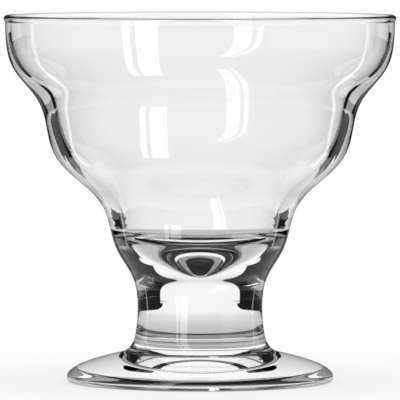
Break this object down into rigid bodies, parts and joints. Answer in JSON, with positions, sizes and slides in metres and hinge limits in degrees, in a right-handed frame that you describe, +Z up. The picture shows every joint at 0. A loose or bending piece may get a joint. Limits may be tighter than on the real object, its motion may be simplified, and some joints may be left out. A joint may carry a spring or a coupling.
{
  "type": "ice cream dish",
  "caption": "Clear glass footed ice cream dish with a tiered bowl that widens in soft steps to a beaded rim, a short thick stem and a round domed foot.",
  "frame": {"origin": "on the table under the middle of the foot", "axes": "+Z up along the dish's axis of revolution, +X to the right and +Y away in the pictured view"},
  "size_m": [0.118, 0.118, 0.1105],
  "materials": {
    "bowl_glass": "clear, colourless, fire-polished",
    "base_glass": "clear, colourless, smooth pressed"
  },
  "bodies": {
    "root": {"bowl": "bowl_glass", "stem": "base_glass", "foot": "base_glass"}
  },
  "joints": []
}
